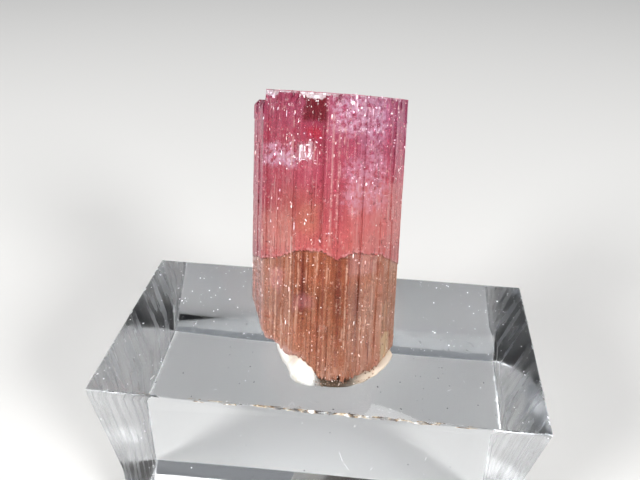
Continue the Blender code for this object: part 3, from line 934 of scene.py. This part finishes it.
FLAKE_SMALLEST = 0.04 * MM
FLAKE_LARGEST = 0.20 * MM
FLAKE_PATCHES = (  # left, right, low, high, softness (mm), strength
    (1.4, 5.3, 19.4, 21.6, 0.4, 1.3), (3.3, 4.8, 17.4, 19.2, 0.3, 0.8), (-5.0, -0.6, 15.9, 17.6, 0.3, 0.9),
    (-1.8, 0.6, 17.9, 18.9, 0.3, 0.7), (1.6, 5.2, 13.2, 16.8, 0.5, 0.45), (-4.9, -3.0, 18.0, 21.0, 0.5, 0.25),
)
NICK_RISE = 0.05 * MM
NICK_ROOT = 0.02 * MM
NICK_SEARCH = 0.08  # mm further down at each try
NICK_TRIES = 60
NICKS = (  # across, up, width, height (mm), lean (degrees)
    (-4.6, 21.7, 0.45, 0.28, 20), (-4.25, 21.4, 0.26, 0.42, -30), (-3.5, 21.8, 0.5, 0.1, 0),
    (-2.7, 21.75, 0.5, 0.1, 0), (-1.55, 21.72, 0.45, 0.13, -10), (-0.95, 21.7, 0.5, 0.14, 0),
    (-0.55, 21.42, 0.75, 0.2, 0), (0.1, 21.68, 0.42, 0.12, 0), (-1.1, 21.15, 0.14, 0.1, 0),
    (-0.45, 21.12, 0.3, 0.09, 0), (5.95, 21.45, 0.11, 0.3, 0), (5.5, 21.65, 0.3, 0.11, 0),
    (2.62, 21.6, 0.22, 0.6, 0), (3.5, 21.65, 0.16, 0.5, 0), (3.25, 21.3, 0.16, 0.16, 20),
    (0.4, 21.3, 0.13, 0.13, 0), (2.4, 21.1, 0.16, 0.14, 0), (4.35, 20.8, 0.14, 0.16, 0),
    (3.05, 20.7, 0.18, 0.22, 10), (1.95, 20.5, 0.13, 0.2, 0), (-2.95, 20.05, 0.12, 0.5, 0),
    (-2.25, 20.05, 0.12, 0.28, -20), (-5.1, 19.6, 0.24, 0.28, 15), (3.45, 19.1, 0.14, 0.12, 0),
    (3.65, 18.85, 0.26, 0.16, 30), (-1.37, 18.6, 0.15, 0.15, 0), (-0.88, 18.55, 0.1, 0.26, -20),
    (1.55, 18.35, 0.12, 0.12, 0), (-0.08, 18.3, 0.26, 0.16, 0), (5.7, 18.25, 0.14, 0.11, 0),
    (5.7, 18.02, 0.14, 0.09, 0), (-0.9, 18.1, 0.2, 0.14, 0), (-0.38, 17.95, 0.24, 0.12, 30),
    (-2.2, 18.0, 0.2, 0.12, 0), (-0.98, 17.72, 0.7, 0.15, 0), (5.65, 17.75, 0.12, 0.12, 0),
    (-1.52, 17.5, 0.09, 0.6, 0), (-1.3, 17.42, 0.13, 0.55, 0), (-0.92, 17.33, 0.22, 0.34, 0),
    (-1.68, 17.15, 0.1, 1.2, 0), (-1.24, 16.98, 0.11, 0.5, -15), (-0.98, 16.9, 0.2, 0.5, 20),
    (-0.78, 16.85, 0.08, 0.8, 25), (-1.4, 16.55, 0.6, 0.1, 0), (-5.3, 17.0, 0.09, 0.32, 25),
    (-3.33, 16.88, 0.1, 0.66, 0), (-3.4, 16.85, 0.42, 0.1, -15), (-2.3, 16.7, 0.55, 0.09, 10),
    (-0.45, 16.5, 0.22, 0.07, 0), (-0.45, 16.3, 0.24, 0.08, 0), (4.4, 16.35, 0.2, 0.34, 15),
    (4.4, 16.05, 0.3, 0.09, 15), (-3.45, 16.1, 0.1, 0.42, -30), (5.75, 15.3, 0.12, 0.12, 0),
    (2.55, 15.25, 0.09, 0.2, 0), (3.65, 14.75, 0.15, 0.3, 0), (4.2, 14.7, 0.13, 0.13, 0),
    (1.5, 14.6, 0.08, 0.3, 0), (-3.4, 13.9, 0.16, 0.3, 10), (-3.47, 13.22, 0.09, 0.24, 20),
    (-4.2, 11.2, 0.16, 0.28, 15), (-3.54, 12.38, 0.08, 0.2, 0), (-2.02, 11.12, 0.13, 1.1, 0),
    (-0.35, 12.95, 0.12, 0.1, 0), (-0.89, 12.18, 0.13, 0.16, 0), (-1.04, 11.69, 0.15, 0.3, -35),
    (0.87, 10.73, 0.22, 0.14, 0), (0.16, 10.03, 0.13, 0.28, -20), (-1.34, 8.35, 0.12, 0.14, 0),
    (-0.77, 8.48, 0.14, 0.08, 0), (-0.28, 8.67, 0.16, 0.12, 30), (-0.34, 8.0, 0.24, 0.09, -20),
    (-2.87, 8.46, 0.3, 0.07, 0), (-2.31, 8.48, 0.3, 0.07, 0), (3.13, 8.56, 0.24, 0.12, 20),
    (3.38, 8.28, 0.16, 0.16, 0), (-5.0, 7.49, 0.13, 0.2, 0), (-5.58, 7.57, 0.11, 0.24, 0),
    (-1.03, 6.52, 0.24, 0.09, 0), (-0.65, 2.42, 0.17, 0.14, 0), (2.02, 0.71, 0.08, 0.22, 0),
    (0.79, -0.1, 0.09, 0.24, 0), (2.28, -1.3, 0.11, 0.16, 0), (5.58, 19.86, 0.13, 0.13, 0),
    (2.8, 4.85, 0.2, 0.1, 0), (3.9, 4.2, 0.22, 0.12, 0), (4.65, 3.95, 0.1, 0.16, 0),
    (4.15, 3.2, 0.07, 0.5, 0), (4.3, 2.85, 0.4, 0.09, 0), (2.85, 2.95, 0.08, 0.5, 0),
    (4.0, 2.4, 0.12, 0.12, 0), (-0.2, 1.45, 0.17, 0.15, 30), (-1.3, 0.95, 0.15, 0.14, 0),
    (3.75, 0.2, 0.11, 0.34, -35), (0.4, -0.4, 0.07, 0.34, 0),
)
PEACH_TO_LILAC = (27.0, 31.0)  # mm above the ground
LILAC_BREAK = (0.35, (0.70, 0.32, 0.46)), (0.48, (0.95, 0.78, 0.90)), (0.6, (1.0, 0.97, 1.0))
PEACH_BREAK = (0.35, (0.62, 0.28, 0.20)), (0.5, (0.95, 0.66, 0.54)), (0.65, (1.0, 0.90, 0.84))
SILVER = (0.34, (0.86, 0.30, 0.44)), (0.48, (0.93, 0.60, 0.78)), (0.6, (0.98, 0.88, 0.96))
GRIT = (
    (0.38, (0.10, 0.02, 0.02)), (0.45, (0.80, 0.48, 0.44)),
    (0.52, (0.98, 0.82, 0.80)), (0.60, (1.0, 0.96, 0.95)),
)


def glittering_break():
    """Fresh broken stone: white with a breath of lilac above, peach over the brown foot."""
    finish = Finish("glittering_break", Coat_Weight=0.6, Coat_Roughness=0.08)
    height = finish.parts(finish.place())[2]
    grain = finish.grain(finish.place(), 3.0, detail=3.0, roughness=0.7)
    peach = finish.ramp(grain, *PEACH_BREAK)
    lilac = finish.ramp(grain, *LILAC_BREAK)
    finish.set(Base_Color=height.between(*PEACH_TO_LILAC).blend(peach, lilac), Roughness=grain * 0.4 + 0.05)
    return finish


def speckled(name, scale, tones, slope, least, **plain):
    """A finish whose colour and roughness both follow one fine grain."""
    finish = Finish(name, **plain)
    spot = finish.grain(finish.place(), scale, detail=1.0)
    finish.set(Base_Color=finish.ramp(spot, *tones), Roughness=spot * slope + least)
    return finish


def surface_of(piece):
    mesh = piece.data
    return BVHTree.FromPolygons([v.co for v in mesh.vertices], [p.vertices for p in mesh.polygons])


def nicked_front(crystal):
    """Each nick is a low four-sided splinter standing on the face where it was struck."""
    tree = surface_of(crystal)
    chance = random.Random(23)
    into = CRYSTAL_TURN @ Vector((0.0, 1.0, 0.0))
    bm = bmesh.new()

    def on_face(across, up, lift):
        """The face's point there, or the nearest one below it where the edge is chipped away."""
        for _ in range(NICK_TRIES):
            start = CRYSTAL_FOOT + CRYSTAL_TURN @ Vector((across * MM, -3 * CRYSTAL_HALF_DEPTH, up * MM))
            found = tree.ray_cast(start, into)[0]
            if found and into.dot(found - CRYSTAL_FOOT) < 0:
                return found - into * lift
            up -= NICK_SEARCH
            across *= 0.998

    for across, up, width, height, lean in NICKS:
        slope = math.radians(lean)
        corners = []
        for x, z in ((-0.5, -0.5), (0.5, -0.5), (0.5, 0.5), (-0.5, 0.5)):
            x = x * width * chance.uniform(0.6, 1.15)
            z = z * height * chance.uniform(0.75, 1.1)
            along = across + x * math.cos(slope) + z * math.sin(slope)
            corners.append(on_face(along, up + z * math.cos(slope) - x * math.sin(slope), -NICK_ROOT))
        peak = (across + width * chance.uniform(-0.2, 0.2), up + height * chance.uniform(-0.2, 0.2))
        raise_splinter(bm, corners, on_face(*peak, NICK_RISE * chance.uniform(0.5, 1.2)))
    bmesh.ops.recalc_face_normals(bm, faces=bm.faces)
    return bm


def flakes_in_veils(crystal):
    """Films of trapped air in patches under the front face, each turned a little from its crack."""
    silver = speckled("silvered_flakes", 1.9, SILVER, 0.3, 0.15, Metallic=0.35)
    growth = Growth("silvered_cracks", Flakes_Per_mm2=12.0, Depth=0.10 * MM, Seed=4)
    across, back, up = on_crystal(growth)
    ragged = (growth.grain(growth.place(), 0.9 / MM) - 0.5) * 2.5
    patches = growth.patches(across + ragged, up + ragged, *FLAKE_PATCHES)
    spots = growth.scattered(patches * (1 - back.between(-3.6, -3.0)) * growth.given("Flakes_Per_mm2"))
    outward = Wire(growth, spots.socket.node.outputs["Normal"])
    deeper = outward.scale(growth.given("Depth") * growth.chance(-5.0, -0.3, 7))
    sunk = growth.node("GeometryNodeSetPosition", {}, {"Geometry": spots, "Offset": deeper})
    facing = Wire(growth, spots.socket.node.outputs["Rotation"])
    jostle = growth.any_turn((-0.45, -0.45, -3.0), (0.45, 0.45, 3.0), 9)
    tipped = growth.node("FunctionNodeRotateRotation", {"rotation_space": "LOCAL"}, {0: facing, 1: jostle})
    width = growth.chance(FLAKE_SMALLEST, FLAKE_LARGEST, 11)
    size = growth.point(width, width * growth.chance(0.4, 1.0, 12), width * 0.14)
    return growth.finished(growth.grains(sunk, tipped, size), crystal.data, silver)


def grit_on_crystal(crystal):
    """Round grains and thin slivers over the sides, most of them bright, slivers along the ribs."""
    grit = speckled("clinging_grit", 2.2, GRIT, 0.3, 0.1, Coat_Weight=0.4)
    growth = Growth("clinging_grit", Grains_Per_mm2=1.3, Smallest=0.022 * MM, Largest=0.062 * MM, Seed=6)
    bed = growth.grain(growth.place(), 0.35 / MM)
    spots = growth.scattered((bed.between(0.35, 0.65) + 0.25) * growth.given("Grains_Per_mm2"))
    width = growth.width(2.5)
    size = growth.point(width, width, width * (growth.chance(0.0, 1.0, 5) ** 5 * 5.0 + 1.0))
    return growth.finished(growth.grains(spots, CRYSTAL_LEAN, size), crystal.data, grit)


set_down("nicks_in_front", nicked_front(crystal), glittering_break())
piece_of(flakes_in_veils(crystal), "silvered_cracks")
piece_of(grit_on_crystal(crystal), "clinging_grit")

# ---- The putty ----
# A pinch of white mounting putty, rolled soft and pressed down under the crystal's torn foot. It
# squeezed out as a fat lobe at the front left, a thin edge along the front, painted dark as shade
# under the crystal, and a small lobe at the right. A drop of clear glue set beside it, and crumbs of
# stone stuck to its edge.

PUTTY_MIDDLE = Vector((1.4 * MM, -0.2 * MM, BLOCK_TOP))
PUTTY_HEIGHT = 3.5 * MM
PUTTY_SQUARENESS = 0.45
PUTTY_OUTLINE = (  # across, back (mm), how full the lump is there
    (-5.3, 2.6, 0.5), (-5.7, 0.0, 0.7), (-5.35, -2.6, 1.0), (-4.45, -4.6, 1.0), (-3.0, -6.6, 1.0),
    (-2.15, -6.9, 0.8), (-0.9, -6.75, 0.22), (0.2, -6.75, 0.14), (1.1, -6.6, 0.12), (2.3, -6.0, 0.12),
    (3.3, -5.1, 0.12), (4.1, -4.1, 0.16), (4.5, -3.4, 0.18), (4.75, -2.8, 0.22), (4.9, -2.2, 0.26),
    (4.7, -1.4, 0.26), (4.5, 0.8, 0.30), (3.7, 3.3, 0.40), (1.6, 5.4, 0.40), (-2.4, 5.4, 0.45),
)
PUTTY_AROUND = 260
PUTTY_RINGS = 50
PUTTY_RING_SPACING = 0.75
PUTTY_EDGE = 0.02 * MM
KNEADED = ((0.30 * MM, 1.7 * MM), (0.09 * MM, 0.45 * MM))  # height, pitch
LOBES_START = 0.55  # share of the way out
LOBES_RUN = 0.3
PRESSED_GAP = 0.03 * MM
PUTTY_SHADED = (0.50, 0.45, 0.39)
PUTTY_CREAM = (0.84, 0.79, 0.68)
PUTTY_WHITE = (0.95, 0.94, 0.91)
PUTTY_TAN = (0.62, 0.47, 0.33)
# Painted shade for the putty under the crystal's front edge
PUTTY_SHADE_DARK = (0.055, 0.035, 0.02)
BEAD_CLEAR = (0.95, 0.94, 0.92)
BEAD_PLACE = Vector((0.06 * MM, -6.75 * MM, BLOCK_TOP + 0.26 * MM))
BEAD_RADIUS = 0.31 * MM
BEAD_FLAT = -0.24 * MM
BEAD_WAVER = 0.10
BEAD_WAVER_PITCH = 0.3 * MM
CRUMB_PATCH = (-0.2, 5.0, -7.4, -4.0, 0.3)  # left, right, front, back, softness (mm)
CRUMB_TONES = (0.40, (0.06, 0.03, 0.018)), (0.52, (0.30, 0.17, 0.10)), (0.64, (0.92, 0.80, 0.74))


def putty_reach(angle):
    """How far the lump reaches that way, and how full its edge is."""
    polar = [(math.atan2(y, x), math.hypot(x, y), full) for x, y, full in PUTTY_OUTLINE]
    for (start, near, full), (end, far, fuller) in zip(polar, polar[1:] + polar[:1]):
        run = (end - start) % math.tau
        along = (angle - start) % math.tau
        if along <= run:
            ease = (along / run) ** 2 * (3 - 2 * along / run)
            return (near + (far - near) * ease) * MM, full + (fuller - full) * ease


def pressed_putty(crystal):
    """A lump on rings, each point as high as the lump or the crystal's foot above it allows."""
    tree = surface_of(crystal)
    bm = bmesh.new()
    middle = bm.verts.new(lump_point(tree, 0.0, 0.0))
    rings = []
    for ring in range(1, PUTTY_RINGS + 1):
        share = (ring / PUTTY_RINGS) ** PUTTY_RING_SPACING
        angles = [math.tau * i / PUTTY_AROUND for i in range(PUTTY_AROUND)]
        rings.append([bm.verts.new(lump_point(tree, share, angle)) for angle in angles])
    for i in range(PUTTY_AROUND):
        after = (i + 1) % PUTTY_AROUND
        bm.faces.new((middle, rings[0][i], rings[0][after]))
        for inner, outer in zip(rings, rings[1:]):
            bm.faces.new((inner[i], outer[i], outer[after], inner[after]))
    bm.faces.new(list(reversed(rings[-1])))
    bmesh.ops.recalc_face_normals(bm, faces=bm.faces)
    return bm


def lump_point(tree, share, angle):
    reach, full = putty_reach(angle)
    way = Vector((math.cos(angle), math.sin(angle), 0.0))
    spot = PUTTY_MIDDLE + way * reach * share
    kneaded = sum(height * noise.noise(spot / pitch) for height, pitch in KNEADED)
    rise = max(1.0 - share * share, 0.0) ** PUTTY_SQUARENESS
    outer = min(max((share - LOBES_START) / LOBES_RUN, 0.0), 1.0)
    height = (PUTTY_HEIGHT + kneaded * 2.0) * rise * (1.0 + (full - 1.0) * outer)
    above = tree.ray_cast(spot + Vector((0, 0, 0.01 * MM)), Vector((0, 0, 1)))[0]
    if above:
        height = min(height, above.z - BLOCK_TOP - PRESSED_GAP)
    spot += way * kneaded * (1.0 - rise * 0.5) * 0.6 * full
    spot.z = BLOCK_TOP + (max(height, PUTTY_EDGE) if share < 1.0 else PUTTY_EDGE)
    return spot


def white_putty():
    """White and matte where it was squeezed out, with painted shade dark brown under the crystal's front edge
    and a painted tan shadow higher up near the crystal.
    """
    finish = Finish("white_putty", Specular_IOR_Level=0.2)
    place = finish.place()
    across, _, up = finish.parts(place)
    smear = finish.grain(place, 0.9, detail=4.0, roughness=0.6)
    speck = finish.grain(place, 7.0, detail=3.0, roughness=0.7)
    tone = smear + (speck - 0.5) * 0.2 + 0.06
    across += (smear - 0.5) * 1.5
    # The painted shade under the crystal fades out towards the right
    shade_fades_right = (1 - across.between(2.3, 4.2) * 0.75) * (1 - across.between(4.3, 5.0))
    painted_shade_under_crystal = across.between(-0.5, 0.5) * shade_fades_right
    colour = layered(
        finish.ramp(tone, (0.3, PUTTY_SHADED), (0.42, PUTTY_CREAM), (0.58, PUTTY_WHITE)),
        (across.between(2.4, 3.6) * 0.75, PUTTY_TAN),
        # Tan higher up, near the crystal's underside: painted shadow
        ((up - BLOCK_TOP / MM).between(0.7, 1.5) * 0.55, PUTTY_TAN),
        # Dark brown along the front under the crystal: painted shade
        (painted_shade_under_crystal * (0.85 + speck * 0.3), PUTTY_SHADE_DARK),
        (speck.between(0.62, 0.70) * 0.5, PUTTY_SHADED),
    )
    finish.set(Base_Color=colour, Roughness=smear * 0.3 + 0.34)
    finish.set(Normal=finish.raised(smear + speck * 0.25, 0.15 * MM))
    return finish


def clear_bead():
    finish = Finish("clear_bead", Transmission_Weight=0.85, IOR=1.45, Base_Color=BEAD_CLEAR)
    finish.set(Roughness=finish.grain(finish.place(), 3.0) * 0.25)
    return finish


def glue_bead():
    """A drop that ran out beside the lump and set, a little flat where it sits."""
    bm = bmesh.new()
    bmesh.ops.create_icosphere(bm, subdivisions=4, radius=BEAD_RADIUS)
    for vert in bm.verts:
        vert.co *= 1.0 + BEAD_WAVER * noise.noise(vert.co / BEAD_WAVER_PITCH)
        vert.co.z = max(vert.co.z, BEAD_FLAT)
    bmesh.ops.translate(bm, vec=BEAD_PLACE, verts=bm.verts)
    return bm


def crumbs_by_putty(putty):
    """Broken crumbs of stone stuck in the front edge of the lump, which is painted dark there as shade."""
    stained = speckled("stained_crumbs", 3.0, CRUMB_TONES, 0.4, 0.15, Coat_Weight=0.3)
    growth = Growth("stuck_crumbs", Crumbs_Per_mm2=34.0, Smallest=0.03 * MM, Largest=0.12 * MM, Seed=15)
    across, back, height = [part / MM for part in growth.parts(growth.place())]
    off_block = height.between(BLOCK_TOP / MM + 0.02, BLOCK_TOP / MM + 0.05)
    front_edge = growth.patch(across, back, *CRUMB_PATCH) * off_block
    thinner_right = 1 - across.between(1.6, 3.2) * 0.55
    spots = growth.scattered(front_edge * thinner_right * growth.given("Crumbs_Per_mm2"))
    width = growth.width(2)
    size = growth.point(width, width * growth.chance(0.5, 1.0, 4), width * growth.chance(0.4, 1.0, 5))
    turn = growth.any_turn((0.0, 0.0, 0.0), (3.0, 3.0, 3.0), 6)
    return growth.finished(growth.grains(spots, turn, size), putty.data, stained)


putty = set_down("pressed_putty", pressed_putty(crystal), white_putty())
putty.data.shade_smooth()
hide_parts("mounting_putty")
bead = set_down("glue_bead", glue_bead(), clear_bead())
bead.data.shade_smooth()
piece_of(crumbs_by_putty(putty), "stuck_crumbs")

# ---- Floor, light and camera ----
# The block stands on a plain pale board, under three soft round lamps and an even grey room. It is
# seen from above the front, a little to the right.

FLOOR_SIDE = 3.0
FLOOR_DROP = 0.05 * MM
FLOOR_PALE = (0.72, 0.71, 0.69)
ROOM_LIGHT = (0.20, 0.21, 0.225, 1.0)
LIT_SPOT = Vector((0.0, 0.0, 20.0 * MM))
CAMERA_PLACE = (5.08 * MM, -47.2 * MM, 58.6 * MM)
CAMERA_DOWN = math.radians(31.76)
CAMERA_TURN = math.radians(6.81)
CAMERA_ROLL = math.radians(0.57)
CAMERA_LENS = 36.93
CAMERA_SENSOR = 36.0


def pale_floor():
    finish = Finish("pale_board", Base_Color=FLOOR_PALE, Roughness=0.7)
    bm = bmesh.new()
    bmesh.ops.create_grid(bm, x_segments=1, y_segments=1, size=FLOOR_SIDE / 2)
    floor = bpy.data.objects.new("floor", plain_mesh("floor", bm))
    floor.location.z = -FLOOR_DROP
    floor.data.materials.append(finish.material)
    bpy.context.scene.collection.objects.link(floor)


def soft_light(name, place, size, power):
    light = bpy.data.lights.new(name, "AREA")
    light.shape = "DISK"
    light.size = size
    light.energy = power
    lamp = bpy.data.objects.new(name, light)
    lamp.location = place
    lamp.rotation_euler = (LIT_SPOT - Vector(place)).to_track_quat("-Z", "Y").to_euler()
    bpy.context.scene.collection.objects.link(lamp)


pale_floor()
soft_light("window_left", (-0.30, -0.30, 0.26), 0.18, 2.4)
soft_light("window_right", (0.30, -0.28, 0.24), 0.14, 2.05)
soft_light("overhead", (0.0, 0.15, 0.50), 0.30, 0.8)

world = bpy.data.worlds.new("studio")
world.use_nodes = True
world.node_tree.nodes["Background"].inputs["Color"].default_value = ROOM_LIGHT
bpy.context.scene.world = world
bpy.context.scene.view_settings.view_transform = "Standard"

lens = bpy.data.cameras.new("camera")
lens.lens = CAMERA_LENS
lens.sensor_width = CAMERA_SENSOR
lens.clip_start = 1.0 * MM
camera = bpy.data.objects.new("camera", lens)
turn = Matrix.Rotation(CAMERA_TURN, 4, "Z")
tilt = Matrix.Rotation(math.pi / 2 - CAMERA_DOWN, 4, "X")
roll = Matrix.Rotation(CAMERA_ROLL, 4, "Z")
camera.matrix_world = Matrix.Translation(CAMERA_PLACE) @ turn @ tilt @ roll
bpy.context.scene.collection.objects.link(camera)
bpy.context.scene.camera = camera
